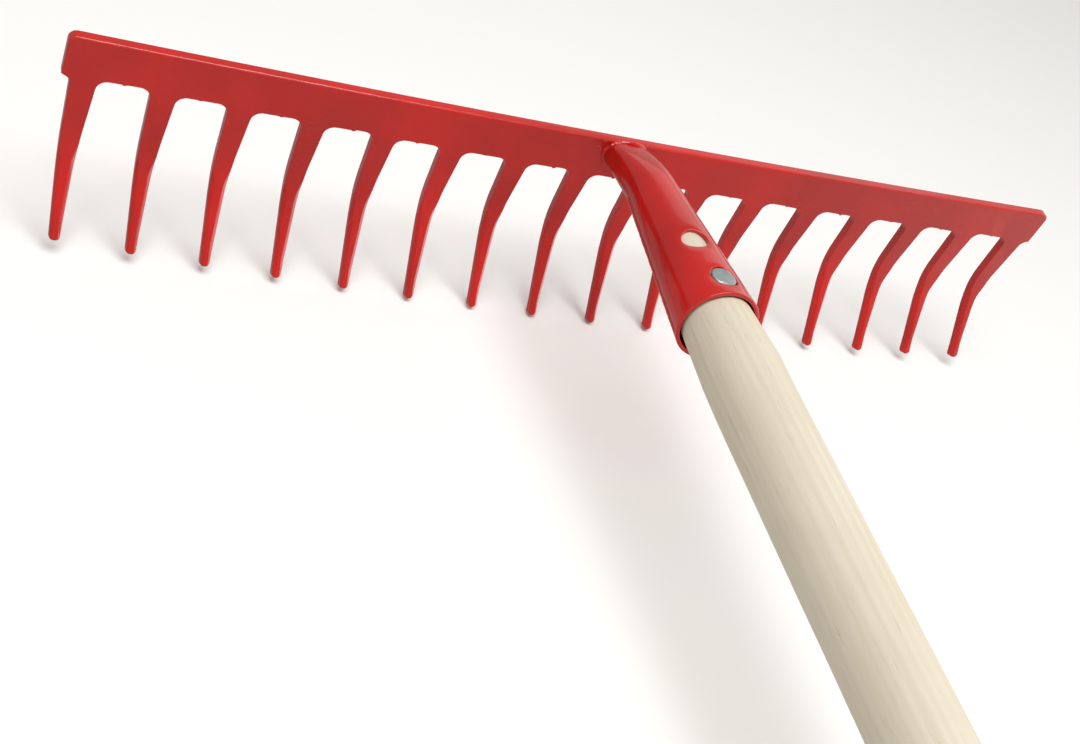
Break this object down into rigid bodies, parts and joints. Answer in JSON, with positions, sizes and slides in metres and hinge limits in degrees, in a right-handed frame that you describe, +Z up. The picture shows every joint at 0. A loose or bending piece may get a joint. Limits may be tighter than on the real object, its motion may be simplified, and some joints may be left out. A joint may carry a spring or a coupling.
{
  "type": "hay rake",
  "caption": "Tooth rake with a punched and bent steel tine plate, a welded tapered socket and a round wooden handle.",
  "frame": {"origin": "centre of the bounding box, on the floor that the tine tips and the handle's free end rest on", "axes": "+X along the tine bar, -Y along the handle towards its free end, +Z up"},
  "size_m": [0.4202, 1.3424, 0.0912],
  "materials": {
    "red_enamel": "glossy",
    "plain_wood": "sanded, unfinished",
    "zinc_nail": "dull zinc"
  },
  "bodies": {
    "root": {"tine_plate": "red_enamel", "socket": "red_enamel", "nose_weld": "red_enamel", "seam_weld": "red_enamel", "handle": "plain_wood", "fixing_nail": "zinc_nail"}
  },
  "joints": []
}
